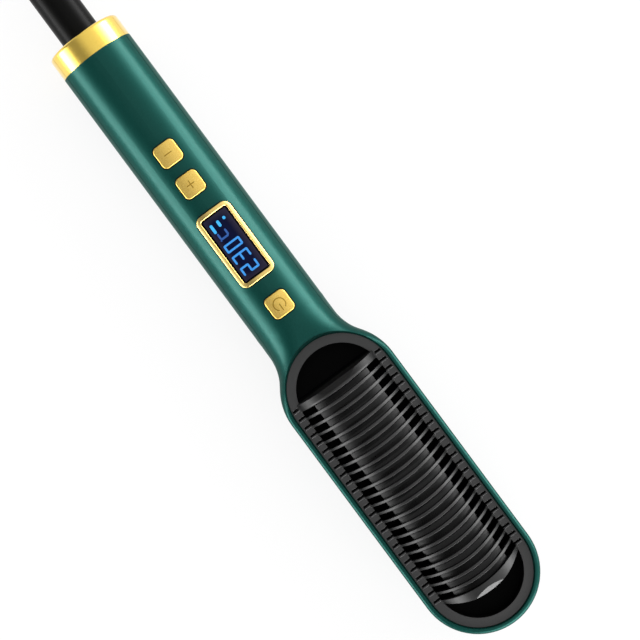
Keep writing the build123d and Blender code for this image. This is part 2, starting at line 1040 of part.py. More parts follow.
def drawn_run(start, end, ahead):
    # A run of the hank, drawn in by the tie half way along, climbing by steps alike
    waist_y = start[1] - hank_draw if start[1] > 0 else start[1] + hank_draw
    waist = ((start[0] + end[0]) / 2, waist_y, (start[2] + end[2]) / 2)
    arcs = []
    for near, out in ((start, ahead), (end, -ahead)):
        turn = (Vector(*near) + Vector(*waist)) / 2
        outer = TangentArc(near, turn, tangent=(out, 0, 0))
        inner = TangentArc(waist, turn, tangent=(-out, 0, 0))
        arcs += [outer, inner] if out == ahead else [inner, outer]
    return arcs


def fold(start, radius, ahead):
    # Half a turn round an end of the hank
    x, y, z = start
    crest = (x + ahead * radius, y + ahead * radius, z)
    end = (x, y + 2 * ahead * radius, z)
    onward = (ahead, 0, 0)
    arcs = [TangentArc(start, crest, tangent=onward), TangentArc(end, crest, tangent=onward)]
    return arcs, end


def cord_hank():
    # Each layer spirals in or out by turns, and the run that follows it climbs
    place = (hank_x, hank_fold, hank_z)
    ahead = -1
    entry = (hank_x + cord_diameter, hank_fold, hank_z)
    arcs = [Line(entry, place)]
    for n in range(hank_folds + 1):
        rise = hank_layer if n > 0 and n % layer_folds == 0 else 0.0
        end = (place[0] + ahead * hank_run, place[1], place[2] + rise)
        arcs += drawn_run(place, end, ahead)
        if n < hank_folds:
            layer, step = divmod(n, layer_folds)
            inward = step if layer % 2 == 0 else layer_folds - 1 - step
            turn, place = fold(end, hank_fold - hank_fold_step * inward, ahead)
            arcs += turn
            ahead = -ahead
    arcs.append(Line(end, (end[0] + cord_diameter, end[1], end[2])))
    path = Wire([edge for arc in arcs for edge in arc.edges()])
    hank = swept(path, entry, (-1, 0, 0), cord_radius, cord_sides, "hank")
    print("hank ends at", end, "least gap", round(least_gap(path), 2))
    return hank, path.length


def least_gap(path):
    # Nearest that two stretches of the cord come, measured between points on its line
    count = round(path.length / 2)
    points = [path @ (n / count) for n in range(count + 1)]
    apart = round(count * 4 * cord_diameter / path.length)
    nearest = min(
        (p - q).length for i, p in enumerate(points) for q in points[i + apart :]
    )
    return nearest - cord_diameter


def cord_tie():
    # A strap pulled tight over and under the runs at the waist
    waist_y = hank_fold - hank_draw
    half_width = waist_y + cord_radius + tie_gap
    height = hank_top_z + cord_radius - tie_thickness
    middle_x = hank_x - hank_run / 2
    middle_z = tie_thickness + height / 2
    level = Plane.YZ.offset(middle_x - tie_width / 2) * Pos(0, middle_z)
    outside = RectangleRounded(
        2 * (half_width + tie_thickness), height + 2 * tie_thickness, tie_corner
    )
    inside = RectangleRounded(2 * half_width, height, tie_corner - tie_thickness)
    return extrude(level * (outside - inside), tie_width)


def plug_body():
    face_x = plug_x + plug_neck_length + plug_length
    shoulder_x = plug_x + plug_neck_length
    plate = Plane.YZ.offset(face_x - plug_face)
    face = plate * RectangleRounded(plug_width, plug_thickness, plug_corner)
    neck = Plane.YZ.offset(shoulder_x) * RectangleRounded(*plug_shoulder, plug_corner)
    at_plug = Pos(0, plug_y, plug_z)
    grip = loft([at_plug * neck, at_plug * face])
    rim = at_plug * extrude(face, plug_face)
    boot = Pos(plug_x, plug_y, plug_z) * Rot(0, 90, 0) * Cone(
        cord_radius + plug_neck_wall,
        plug_neck_radius,
        plug_neck_length,
        align=(Align.CENTER, Align.CENTER, Align.MIN),
    )
    return grip + rim + boot


def plug_pins():
    face_x = plug_x + plug_neck_length + plug_length
    pins = []
    for side in (-1, 1):
        pin = rod(
            face_x,
            face_x + pin_length,
            pin_radius,
            y=plug_y + side * pin_spacing / 2,
            z=plug_z,
        )
        tip = pin.edges().filter_by(GeomType.CIRCLE).sort_by(Axis.X)[-1]
        pins.append(chamfer(tip, pin_chamfer))
    return Compound(children=pins)


def wires(routes, name):
    return Compound(
        children=[tube(route, wire_radius, wire_sides, name)[0] for route in routes]
    )


board_edge_z = power_board_height - board_thickness / 2


def brush_leads():
    routes = []
    end_x = board_start_x
    for x, side in zip(ring_places, (-1, 1)):
        start_x = x + ring_width / 2
        start_y = side * (ring_radius + turn_gap + brush_height / 4)
        low = axis_z - brush_height / 2
        routes.append(
            (
                (start_x, start_y, low),
                (start_x, start_y, low - wire_run),
                (end_x - wire_run, side * wire_spread, board_edge_z),
                (end_x, side * wire_spread, board_edge_z),
            )
        )
    return wires(routes, "brush lead")


def heater_leads():
    routes = []
    start_x = board_end_x
    for side in (-1, 1):
        y = side * wire_spread
        rise_x = heel_x + tray_post_radius
        routes.append(
            (
                (start_x, y, board_edge_z),
                (start_x + 3 * wire_run, y, board_edge_z),
                (rise_x - 2 * wire_run, y, board_edge_z - wire_radius),
                (rise_x, y, board_edge_z),
                (rise_x, y, tray_z - tray_thickness),
            )
        )
    return wires(routes, "heater lead")


lead, lead_length = tube(lead_route, cord_radius, cord_sides, "lead")
hank, hank_length = cord_hank()
tail, tail_length = tube(tail_route, cord_radius, cord_sides, "tail")
print("cord length", round(lead_length + hank_length + tail_length, 1))

nodes = {
    "front_housing": front_housing(),
    "back_housing": back_housing(),
    "housing_screws": housing_screws(),
    "gold_collar": gold_collar(),
    "swivel_bearing": swivel_bearing(),
    "brush_contacts": brush_contacts(),
    "swivel_sleeve": swivel_sleeve(),
    "contact_rings": contact_rings(),
    "strain_relief": strain_relief(),
    "cord_lead": lead,
    "cord_hank": hank,
    "cord_tail": tail,
    "cord_tie": cord_tie(),
    "plug_body": plug_body(),
    "plug_pins": plug_pins(),
    "display_frame": display_frame(),
    "display_lens": display_lens(),
    "display_module": display_module(),
    "control_board": control_board(),
    "power_board": power_board(),
    "mains_fuse": mains_fuse(),
    "film_capacitor": film_capacitor(),
    "electrolytic_capacitor": electrolytic_capacitor(),
    "triac": triac(),
    "board_header": board_header(),
    "comb_frame": comb_frame(),
    "heater_plate": heater_plate(),
    "ceramic_heaters": ceramic_heaters(),
    "mica_sheet": stack_layer(spring_z, mica_z, ceramic_width / 2),
    "pressure_spring": pressure_spring(),
    "heater_tray": heater_tray(),
    "tray_screws": tray_screws(),
    "thermistor": thermistor(),
    "thermal_fuse": thermal_fuse(),
    "brush_leads": brush_leads(),
    "heater_leads": heater_leads(),
}
for name, x in button_places.items():
    nodes[name + "_button"] = push_button(x)
    nodes[name + "_plunger"] = plunger(x)
    nodes[name + "_switch"] = tact_switch(x)

for name, shape in nodes.items():
    export_step(shape, "parts/" + name + ".step")
print(len(nodes), "nodes")
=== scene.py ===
from math import cos, pi, radians, sin, sqrt

import bmesh
import bpy
from mathutils import Matrix, Vector


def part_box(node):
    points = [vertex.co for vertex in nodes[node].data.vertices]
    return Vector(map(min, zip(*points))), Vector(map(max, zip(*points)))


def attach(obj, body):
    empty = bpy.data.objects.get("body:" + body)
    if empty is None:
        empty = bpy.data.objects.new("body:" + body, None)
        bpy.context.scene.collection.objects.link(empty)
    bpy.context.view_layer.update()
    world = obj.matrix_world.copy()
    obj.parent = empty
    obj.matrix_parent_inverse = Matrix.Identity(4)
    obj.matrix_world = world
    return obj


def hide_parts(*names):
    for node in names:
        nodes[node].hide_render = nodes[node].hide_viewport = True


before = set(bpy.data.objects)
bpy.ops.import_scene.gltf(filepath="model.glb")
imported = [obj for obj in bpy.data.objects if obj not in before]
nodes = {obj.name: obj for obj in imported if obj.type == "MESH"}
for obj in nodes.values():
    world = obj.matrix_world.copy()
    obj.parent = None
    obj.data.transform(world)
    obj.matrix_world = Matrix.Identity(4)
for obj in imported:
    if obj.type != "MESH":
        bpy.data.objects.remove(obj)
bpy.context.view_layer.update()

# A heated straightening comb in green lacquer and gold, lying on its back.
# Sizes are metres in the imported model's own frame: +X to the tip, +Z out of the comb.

mm = 0.001

# What the rest is set out from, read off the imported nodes
collarLow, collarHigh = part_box("gold_collar")
axisHeight = (collarLow.z + collarHigh.z) / 2
lensLow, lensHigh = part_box("display_lens")
lensMiddle = (lensLow.x + lensHigh.x) / 2
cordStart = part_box("strain_relief")[0].x
finRise = 11.0 * mm  # from the comb's flat face to the crest of its fins
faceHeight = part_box("comb_frame")[1].z - finRise

print("frame loaded,", len(nodes), "nodes")


# Small helpers for meshes and shader trees
def finishPiece(bm, name, material, body=None):
    mesh = bpy.data.meshes.new(name)
    bm.to_mesh(mesh)
    bm.free()
    piece = bpy.data.objects.new(name, mesh)
    bpy.context.scene.collection.objects.link(piece)
    mesh.materials.append(material)
    if body:
        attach(piece, body)
    return piece


def shaderNode(tree, kind, values=None, **settings):
    made = tree.nodes.new(kind)
    for key, value in settings.items():
        setattr(made, key, value)
    for key, value in (values or {}).items():
        made.inputs[key].default_value = value
    return made


def newFinish(name):
    material = bpy.data.materials.new(name)
    material.use_nodes = True
    tree = material.node_tree
    tree.nodes.clear()
    out = tree.nodes.new("ShaderNodeOutputMaterial")
    shader = tree.nodes.new("ShaderNodeBsdfPrincipled")
    tree.links.new(shader.outputs["BSDF"], out.inputs["Surface"])
    return material, tree, shader


def objectPattern(tree, kind, scale, values=None):
    # A texture on the piece's own coordinates, so it stays put in every view
    place = shaderNode(tree, "ShaderNodeTexCoord")
    pattern = shaderNode(tree, kind, {"Scale": scale, **(values or {})})
    tree.links.new(place.outputs["Object"], pattern.inputs["Vector"])
    return pattern


def calculate(tree, operation, first, second=None):
    made = shaderNode(tree, "ShaderNodeMath", operation=operation)
    tree.links.new(first, made.inputs[0])
    if second is not None:
        tree.links.new(second, made.inputs[1])
    return made.outputs["Value"]


def dim(tree, colour, share):
    # Multiplies a colour by a pattern
    made = shaderNode(tree, "ShaderNodeVectorMath", operation="SCALE")
    tree.links.new(colour, made.inputs["Vector"])
    tree.links.new(share, made.inputs["Scale"])
    return made.outputs["Vector"]


def spread(tree, source, low, high, start=0.0):
    # Maps a pattern that runs up to 1 onto a range of values
    limits = {"From Min": start, "To Min": low, "To Max": high}
    ranged = shaderNode(tree, "ShaderNodeMapRange", limits)
    tree.links.new(source, ranged.inputs["Value"])
    return ranged.outputs["Result"]


def tint(tree, source, dark, light, low=0.3, high=0.7):
    # Runs a pattern between two colours
    ramp = shaderNode(tree, "ShaderNodeValToRGB")
    ramp.color_ramp.elements[0].position = low
    ramp.color_ramp.elements[0].color = (*dark, 1)
    ramp.color_ramp.elements[1].position = high
    ramp.color_ramp.elements[1].color = (*light, 1)
    tree.links.new(source, ramp.inputs["Fac"])
    return ramp.outputs["Color"]


def relief(tree, shader, source, depth, before=None):
    # Raises the surface by a pattern, on top of what is already done to its normals
    bump = shaderNode(tree, "ShaderNodeBump", {"Distance": depth, "Strength": 1.0})
    tree.links.new(source, bump.inputs["Height"])
    if before is not None:
        tree.links.new(before.outputs["Normal"], bump.inputs["Normal"])
    tree.links.new(bump.outputs["Normal"], shader.inputs["Normal"])


# Camera: straight above, the comb lying across the picture
cameraSetup = {
    "place": (0.0336, 0.0091, 1.016),
    "turn": 53.47,  # degrees from the comb to the picture's own right
    "lens": 140.6,
    "sensor": 36.0,
    "clip": (0.05, 30.0),
}


def makeCamera(setup):
    data = bpy.data.cameras.new("camera")
    data.lens = setup["lens"]
    data.sensor_width = setup["sensor"]
    data.clip_start, data.clip_end = setup["clip"]
    camera = bpy.data.objects.new("camera", data)
    camera.location = setup["place"]
    camera.rotation_euler = (0, 0, radians(setup["turn"]))
    bpy.context.scene.collection.objects.link(camera)
    bpy.context.scene.camera = camera


makeCamera(cameraSetup)
bpy.context.scene.view_settings.view_transform = "Standard"
print("camera ready")

# Finishes

greenSetup = {
    "base": (0.0022, 0.041, 0.034),
    "flake": (0.0055, 0.060, 0.049),
    "flakeScale": 9000.0,
    "flakeRange": (0.1, 0.95),
    "metallic": 0.6,
    "edge": (0.2, 0.5, 0.45),  # what the flakes mirror at a flat angle
    "specular": 0.06,
    "roughness": (0.33, 0.40),
    "peelScale": 420.0,
    "peelDepth": 0.000004,
    "coat": 0.18,
    "coatRoughness": 0.25,
}


def greenLacquer(setup):
    # Fine metal flake under a satin clear coat, with a slight orange peel
    material, tree, shader = newFinish("greenLacquer")
    flakes = objectPattern(tree, "ShaderNodeTexVoronoi", setup["flakeScale"])
    shades = (setup["base"], setup["flake"], *setup["flakeRange"])
    colour = tint(tree, flakes.outputs["Color"], *shades)
    tree.links.new(colour, shader.inputs["Base Color"])
    peel = objectPattern(tree, "ShaderNodeTexNoise", setup["peelScale"])
    rough = spread(tree, peel.outputs["Fac"], *setup["roughness"])
    tree.links.new(rough, shader.inputs["Roughness"])
    relief(tree, shader, peel.outputs["Fac"], setup["peelDepth"])
    shader.inputs["Metallic"].default_value = setup["metallic"]
    shader.inputs["Specular Tint"].default_value = (*setup["edge"], 1)
    shader.inputs["Specular IOR Level"].default_value = setup["specular"]
    shader.inputs["Coat Weight"].default_value = setup["coat"]
    shader.inputs["Coat Roughness"].default_value = setup["coatRoughness"]
    return material


grainDetail = {"Detail": 4.0}  # for the grain of polished and brushed metal

goldSetups = {
    "goldCollar": {
        "dark": (0.92, 0.61, 0.075),
        "light": (0.99, 0.71, 0.12),
        "roughness": (0.20, 0.26),
        "grainScale": 2500.0,
        "grainDepth": 0.000001,
        "coat": 0.9,
    },
    "goldFrame": {
        "dark": (0.80, 0.54, 0.13),
        "light": (0.92, 0.68, 0.22),
        "roughness": (0.18, 0.26),
        "grainScale": 4000.0,
        "grainDepth": 0.000002,
        "coat": 0.9,
    },
    "goldButton": {
        "dark": (0.74, 0.47, 0.07),
        "light": (0.94, 0.68, 0.19),
        "roughness": (0.30, 0.46),
        "grainScale": 3200.0,
        "grainDepth": 0.000007,
        "coat": 0.2,
    },
}


def goldPlate(name, setup):
    # Metal flashed on moulded plastic: each piece has its own polish and grain
    material, tree, shader = newFinish(name)
    grain = objectPattern(tree, "ShaderNodeTexNoise", setup["grainScale"], grainDetail)
    colour = tint(tree, grain.outputs["Fac"], setup["dark"], setup["light"])
    tree.links.new(colour, shader.inputs["Base Color"])
    rough = spread(tree, grain.outputs["Fac"], *setup["roughness"])
    tree.links.new(rough, shader.inputs["Roughness"])
    relief(tree, shader, grain.outputs["Fac"], setup["grainDepth"])
    shader.inputs["Metallic"].default_value = 1.0
    shader.inputs["Coat Weight"].default_value = setup["coat"]
    shader.inputs["Coat Roughness"].default_value = setup["roughness"][1]
    return material


# How strongly the black mouldings shine, and the others
shine = {"sleevePlastic": 0.07, "blackRubber": 0.12, "gapShadeBlack": 0.1, "ridgeHighlightPlastic": 0.6}
plainShine = 0.5

# The skin of a moulding is fine, and the clouds in its colour are much larger
skinSetup = {"detail": {"Detail": 5.0}, "cloudSize": 40, "cloudRange": (0.25, 0.8)}

plasticSetups = {
    # name: dark and light of the moulding's own colour, roughness, texture size and depth
    "sleevePlastic": (
        (0.0016, 0.0016, 0.0015), (0.003, 0.003, 0.0028), (0.30, 0.38), 1800.0, 0.000006,
    ),
    "blackRubber": ((0.004, 0.004, 0.004), (0.008, 0.008, 0.0084), (0.40, 0.52), 1500.0, 0.000010),
    # Painted lighter than the comb moulding, as a painted highlight on the fin ridges
    "ridgeHighlightPlastic": ((0.028, 0.028, 0.029), (0.042, 0.042, 0.043), (0.30, 0.42), 2600.0, 0.000010),
    # Painted shade for the gaps round the buttons and the display's frame
    "gapShadeBlack": ((0.001, 0.0025, 0.002), (0.002, 0.005, 0.004), (0.50, 0.60), 1500.0, 0.000004),
    "innerPlastic": ((0.50, 0.50, 0.47), (0.62, 0.62, 0.59), (0.42, 0.55), 900.0, 0.000010),
    "componentBlack": (
        (0.010, 0.010, 0.010), (0.020, 0.020, 0.021), (0.40, 0.52), 2000.0, 0.000008,
    ),
    "componentYellow": ((0.62, 0.45, 0.06), (0.75, 0.58, 0.10), (0.30, 0.42), 800.0, 0.000012),
    "ceramicWhite": ((0.74, 0.71, 0.66), (0.88, 0.86, 0.82), (0.5, 0.65), 1400.0, 0.000010),
    "leadInsulation": ((0.55, 0.55, 0.52), (0.68, 0.68, 0.66), (0.45, 0.6), 1200.0, 0.000008),
}


def mouldedPlastic(name, setup):
    dark, light, roughness, scale, depth = setup
    material, tree, shader = newFinish(name)
    skin = objectPattern(tree, "ShaderNodeTexNoise", scale, skinSetup["detail"])
    cloud = objectPattern(tree, "ShaderNodeTexNoise", scale / skinSetup["cloudSize"])
    colour = tint(tree, cloud.outputs["Fac"], dark, light, *skinSetup["cloudRange"])
    tree.links.new(colour, shader.inputs["Base Color"])
    rough = spread(tree, skin.outputs["Fac"], *roughness)
    tree.links.new(rough, shader.inputs["Roughness"])
    relief(tree, shader, skin.outputs["Fac"], depth)
    shader.inputs["Specular IOR Level"].default_value = shine.get(name, plainShine)
    return material


metalSetups = {
    # name: dark and light of the metal, roughness, brushing along X, Y and Z, depth
    "zincSteel": (
        (0.36, 0.36, 0.38), (0.52, 0.52, 0.54), (0.28, 0.42), (900, 900, 200), 0.000004,
    ),
    "nickelPin": (
        (0.60, 0.58, 0.55), (0.72, 0.70, 0.67), (0.16, 0.26), (150, 1600, 1600), 0.000002,
    ),
    "brassStrip": (
        (0.58, 0.42, 0.16), (0.72, 0.54, 0.24), (0.24, 0.36), (1400, 300, 300), 0.000003,
    ),
}


def brushedMetal(name, setup):
    dark, light, roughness, brushing, depth = setup
    material, tree, shader = newFinish(name)
    place = shaderNode(tree, "ShaderNodeTexCoord")
    stretch = shaderNode(tree, "ShaderNodeMapping", {"Scale": brushing})
    grain = shaderNode(tree, "ShaderNodeTexNoise", {"Scale": 1.0, **grainDetail})
    tree.links.new(place.outputs["Object"], stretch.inputs["Vector"])
    tree.links.new(stretch.outputs["Vector"], grain.inputs["Vector"])
    tree.links.new(tint(tree, grain.outputs["Fac"], dark, light), shader.inputs["Base Color"])
    rough = spread(tree, grain.outputs["Fac"], *roughness)
    tree.links.new(rough, shader.inputs["Roughness"])
    relief(tree, shader, grain.outputs["Fac"], depth)
    shader.inputs["Metallic"].default_value = 1.0
    return material


combSetup = {
    # Height over the flat face, colour, share of the shine: light and shade painted by height,
    # with
    #  painted-shade black hollows, a greyer painted-lit face, dark fins and crests shining as
    #  painted highlights
    "litAndShadedZones": (
        (-1.2 * mm, 0.0012, 0.06),
        (-0.4 * mm, 0.022, 1.0),
        (0.4 * mm, 0.022, 1.0),
        (1.4 * mm, 0.005, 0.24),
        (5.5 * mm, 0.004, 0.29),
        (8.5 * mm, 0.006, 1.0),
    ),
    "shine": 0.55,
    "hoodShadeEnd": 58.5 * mm,  # up to here, the hood at the heel is painted as dark and dull as the fins' flanks, a painted shade
    "hoodShadeFade": 0.5 * mm,
    "hoodShadeHeight": 3.0 * mm,  # the height whose painted shade the hood takes
    "roughness": (0.30, 0.42),
    "scale": 2600.0,
    "depth": 0.000010,
    "edge": 0.3 * mm,  # rounding of the fins' crests
    "edgeSamples": 4,
}


def combPlastic(setup):
    # One black moulding with light and shade painted by height: its open face painted greyer, its
    # hollows painted black as painted shade, its fins dark with crests that shine as painted
    # highlights
    material, tree, shader = newFinish("combPlastic")
    place = shaderNode(tree, "ShaderNodeTexCoord")
    parts = shaderNode(tree, "ShaderNodeSeparateXYZ")
    tree.links.new(place.outputs["Object"], parts.inputs["Vector"])
    lowest, highest = setup["litAndShadedZones"][0][0], setup["litAndShadedZones"][-1][0]
    height = shaderNode(
        tree,
        "ShaderNodeMapRange",
        {"From Min": faceHeight + lowest, "From Max": faceHeight + highest},
    )
    tree.links.new(parts.outputs["Z"], height.inputs["Value"])
    # The hood at the heel takes the painted shade of the fins' flanks
    hoodShadeShare = (setup["hoodShadeHeight"] - lowest) / (highest - lowest)
    hoodShade = shaderNode(
        tree,
        "ShaderNodeMapRange",
        {
            "From Min": setup["hoodShadeEnd"] - setup["hoodShadeFade"],
            "From Max": setup["hoodShadeEnd"] + setup["hoodShadeFade"],
            "To Min": hoodShadeShare,
        },
    )
    tree.links.new(parts.outputs["X"], hoodShade.inputs["Value"])
    level = calculate(tree, "MINIMUM", height.outputs["Result"], hoodShade.outputs["Result"])
    # Colour and shine both follow the painted light and shade by height
    for column, socket in ((1, "Base Color"), (2, "Specular Tint")):
        ramp = shaderNode(tree, "ShaderNodeValToRGB")
        stops = ramp.color_ramp.elements
        for n, zone in enumerate(setup["litAndShadedZones"]):
            position = (zone[0] - lowest) / (highest - lowest)
            stop = stops[n] if n < 2 else stops.new(position)
            stop.position = position
            stop.color = (zone[column],) * 3 + (1,)
        tree.links.new(level, ramp.inputs["Fac"])
        tree.links.new(ramp.outputs["Color"], shader.inputs[socket])
    skin = objectPattern(tree, "ShaderNodeTexNoise", setup["scale"])
    rough = spread(tree, skin.outputs["Fac"], *setup["roughness"])
    tree.links.new(rough, shader.inputs["Roughness"])
    edge = {"Radius": setup["edge"]}
    rounded = shaderNode(tree, "ShaderNodeBevel", edge, samples=setup["edgeSamples"])
    relief(tree, shader, skin.outputs["Fac"], setup["depth"], rounded)
    shader.inputs["Specular IOR Level"].default_value = setup["shine"]
    return material


plateSetup = {
    # Colour and share of the shine, gap by gap between the fins: a bar painted greyer as painted
    # light in every second gap, and painted shade in the others, which shine more for painted
    # highlights
    "bar": (0.015, 0.42),
    "hollow": (0.0024, 1.0),
    "shine": 0.12,
    "firstFin": 58.0 * mm,
    "pitch": 3.9 * mm,
    "mottle": (0.75, 1.25),
    "roughness": (0.24, 0.34),
    "scale": 2200.0,
    "depth": 0.000006,
}


def plateCoating(setup):
    # Fired ceramic coating on the aluminium, a little glossier than the moulding
    material, tree, shader = newFinish("plateCoating")
    (barColour, barShine), (hollowColour, hollowShine) = setup["bar"], setup["hollow"]
    place = shaderNode(tree, "ShaderNodeTexCoord")
    stepped = shaderNode(
        tree,
        "ShaderNodeMapping",
        {
            "Location": (-setup["firstFin"] / setup["pitch"], 0, 0),
            "Scale": (1 / setup["pitch"], 0, 0),
        },
    )
    tree.links.new(place.outputs["Object"], stepped.inputs["Vector"])
    # Every second gap painted greyer as painted light, the others darker as painted shade with a
    # stronger painted sheen
    gaps = shaderNode(
        tree,
        "ShaderNodeTexChecker",
        {"Scale": 1.0, "Color1": (barColour,) * 3 + (1,), "Color2": (hollowColour,) * 3 + (1,)},
    )
    tree.links.new(stepped.outputs["Vector"], gaps.inputs["Vector"])
    skin = objectPattern(tree, "ShaderNodeTexNoise", setup["scale"])
    mottle = spread(tree, skin.outputs["Fac"], *setup["mottle"])
    colour = dim(tree, gaps.outputs["Color"], mottle)
    tree.links.new(colour, shader.inputs["Base Color"])
    gloss = spread(tree, gaps.outputs["Fac"], hollowShine, barShine)
    tree.links.new(gloss, shader.inputs["Specular Tint"])
    shader.inputs["Specular IOR Level"].default_value = setup["shine"]
    rough = spread(tree, skin.outputs["Fac"], *setup["roughness"])
    tree.links.new(rough, shader.inputs["Roughness"])
    relief(tree, shader, skin.outputs["Fac"], setup["depth"])
    return material


lensSetup = {
    # The margin's purple-grey is a painted reflection of the frame; the dark middle is the
    # window's own colour
    "edge": (0.015, 0.013, 0.026),
    "middle": (0.0016, 0.0016, 0.006),
    "middleFrom": 0.8,
    "frameShadow": 0.5 * mm,  # painted black next to the frame, as the frame's painted shadow
    "frameShadowEnd": 0.65 * mm,
    "roughness": 0.12,
    "shine": 0.06,
    "glow": (0.0, 0.0022, 0.024),
    "glowReach": (12.6 * mm, 3.6 * mm),  # half of the lit field, along and across
    "fade": 2.2 * mm,
    "hazeScale": 600.0,
    "hazeRange": (0.6, 1.2),
}


def smokedLens(setup):
    # A dark window, with the blue field of the lit display showing through its middle, its margin
    # lightened by a painted reflection of the frame, and a painted shadow of the frame along its
    # border
    material, tree, shader = newFinish("smokedLens")
    place = shaderNode(tree, "ShaderNodeTexCoord")
    centred = shaderNode(tree, "ShaderNodeMapping", {"Location": (-lensMiddle, 0, 0)})
    tree.links.new(place.outputs["Object"], centred.inputs["Vector"])
    parts = shaderNode(tree, "ShaderNodeSeparateXYZ")
    tree.links.new(centred.outputs["Vector"], parts.inputs["Vector"])
    halves = (lensHigh.x - lensMiddle, lensHigh.y)
    shares, shadowMasks = [], []
    for axis, reach, half in zip("XY", setup["glowReach"], halves):
        distance = calculate(tree, "ABSOLUTE", parts.outputs[axis])
        share = shaderNode(
            tree,
            "ShaderNodeMapRange",
            {"From Min": reach + setup["fade"], "From Max": reach - setup["fade"]},
            interpolation_type="SMOOTHSTEP",
        )
        mask = shaderNode(
            tree,
            "ShaderNodeMapRange",
            {"From Min": half - setup["frameShadow"], "From Max": half - setup["frameShadowEnd"]},
        )
        tree.links.new(distance, share.inputs["Value"])
        tree.links.new(distance, mask.inputs["Value"])
        shares.append(share.outputs["Result"])
        shadowMasks.append(mask.outputs["Result"])
    field = calculate(tree, "MULTIPLY", *shares)
    colour = tint(tree, field, setup["edge"], setup["middle"], 0.0, setup["middleFrom"])
    # The frame's painted shadow darkens the border
    for mask in shadowMasks:
        colour = dim(tree, colour, mask)
    tree.links.new(colour, shader.inputs["Base Color"])
    haze = objectPattern(tree, "ShaderNodeTexNoise", setup["hazeScale"])
    unevenness = spread(tree, haze.outputs["Fac"], *setup["hazeRange"])
    mottled = calculate(tree, "MULTIPLY", field, unevenness)
    glow = tint(tree, mottled, (0, 0, 0), setup["glow"], 0.0, 1.0)
    tree.links.new(glow, shader.inputs["Emission Color"])
    shader.inputs["Emission Strength"].default_value = 1.0
    shader.inputs["Roughness"].default_value = setup["roughness"]
    shader.inputs["Specular IOR Level"].default_value = setup["shine"]
    return material


# Weaker and stronger light of each kind of segment
lightSetups = {
    "digitLight": ((0.035, 0.26, 0.72), (0.06, 0.36, 0.86)),
    "unitLight": ((0.016, 0.075, 0.28), (0.035, 0.11, 0.36)),
    "levelLight": ((0.035, 0.42, 0.86), (0.07, 0.55, 0.98)),
}
guideSetup = {
    "unlit": (0.01, 0.02, 0.06),
    "cloudScale": 900.0,
    "strength": 1.0,
}


def segmentLight(name, lights):
    # Lit segments, a little uneven as light guides are, under the window's gloss
    material, tree, shader = newFinish(name)
    cloud = objectPattern(tree, "ShaderNodeTexNoise", guideSetup["cloudScale"])
    glow = tint(tree, cloud.outputs["Fac"], *lights)
    tree.links.new(glow, shader.inputs["Emission Color"])
    shader.inputs["Base Color"].default_value = (*guideSetup["unlit"], 1)
    shader.inputs["Emission Strength"].default_value = guideSetup["strength"]
    shader.inputs["Roughness"].default_value = lensSetup["roughness"]
    shader.inputs["Specular IOR Level"].default_value = lensSetup["shine"]
    return material


engravedSetup = {
    "dark": (0.30, 0.17, 0.02),
    "light": (0.42, 0.26, 0.04),
    "roughness": 0.5,
}


def engravedGold(setup):
    # The floor of the lines cut in the buttons
    material, tree, shader = newFinish("engravedGold")
    scale = goldSetups["goldButton"]["grainScale"]
    grain = objectPattern(tree, "ShaderNodeTexNoise", scale)
    colour = tint(tree, grain.outputs["Fac"], setup["dark"], setup["light"])
    tree.links.new(colour, shader.inputs["Base Color"])
    shader.inputs["Metallic"].default_value = 1.0
    shader.inputs["Roughness"].default_value = setup["roughness"]
    return material


boardSetup = {
    "mask": (0.01, 0.09, 0.035),
    "track": (0.03, 0.20, 0.07),
    "trackScale": 260.0,
    "trackWidth": 0.08,  # of a brick in the pattern
    "trackDepth": 0.00003,
    "weaveScale": 1500.0,
    "roughness": (0.25, 0.4),
}


def circuitBoard(setup):
    material, tree, shader = newFinish("circuitBoard")
    tracks = objectPattern(tree, "ShaderNodeTexBrick", setup["trackScale"])
    tracks.inputs["Color1"].default_value = (*setup["mask"], 1)
    tracks.inputs["Color2"].default_value = (*setup["mask"], 1)
    tracks.inputs["Mortar"].default_value = (*setup["track"], 1)
    tracks.inputs["Mortar Size"].default_value = setup["trackWidth"]
    tree.links.new(tracks.outputs["Color"], shader.inputs["Base Color"])
    weave = objectPattern(tree, "ShaderNodeTexNoise", setup["weaveScale"])
    rough = spread(tree, weave.outputs["Fac"], *setup["roughness"])
    tree.links.new(rough, shader.inputs["Roughness"])
    relief(tree, shader, tracks.outputs["Fac"], setup["trackDepth"])
    return material


micaSetup = {
    "dark": (0.62, 0.54, 0.36),
    "light": (0.78, 0.71, 0.52),
    "flakeScale": 350.0,
    "flakeDepth": 0.00003,
    "roughness": 0.35,
}


def micaSheet(setup):
    material, tree, shader = newFinish("micaSheet")
    flakes = objectPattern(tree, "ShaderNodeTexVoronoi", setup["flakeScale"])
    colour = tint(tree, flakes.outputs["Distance"], setup["dark"], setup["light"])
    tree.links.new(colour, shader.inputs["Base Color"])
    relief(tree, shader, flakes.outputs["Distance"], setup["flakeDepth"])
    shader.inputs["Roughness"].default_value = setup["roughness"]
    return material


fuseSetup = {
    "dark": (0.72, 0.78, 0.78),
    "light": (0.86, 0.90, 0.90),
    "hazeScale": 500.0,
    "clearness": 0.6,
    "roughness": 0.08,
}


def fuseGlass(setup):
    material, tree, shader = newFinish("fuseGlass")
    haze = objectPattern(tree, "ShaderNodeTexNoise", setup["hazeScale"])
    colour = tint(tree, haze.outputs["Fac"], setup["dark"], setup["light"])
    tree.links.new(colour, shader.inputs["Base Color"])
    shader.inputs["Transmission Weight"].default_value = setup["clearness"]
    shader.inputs["Roughness"].default_value = setup["roughness"]
    return material


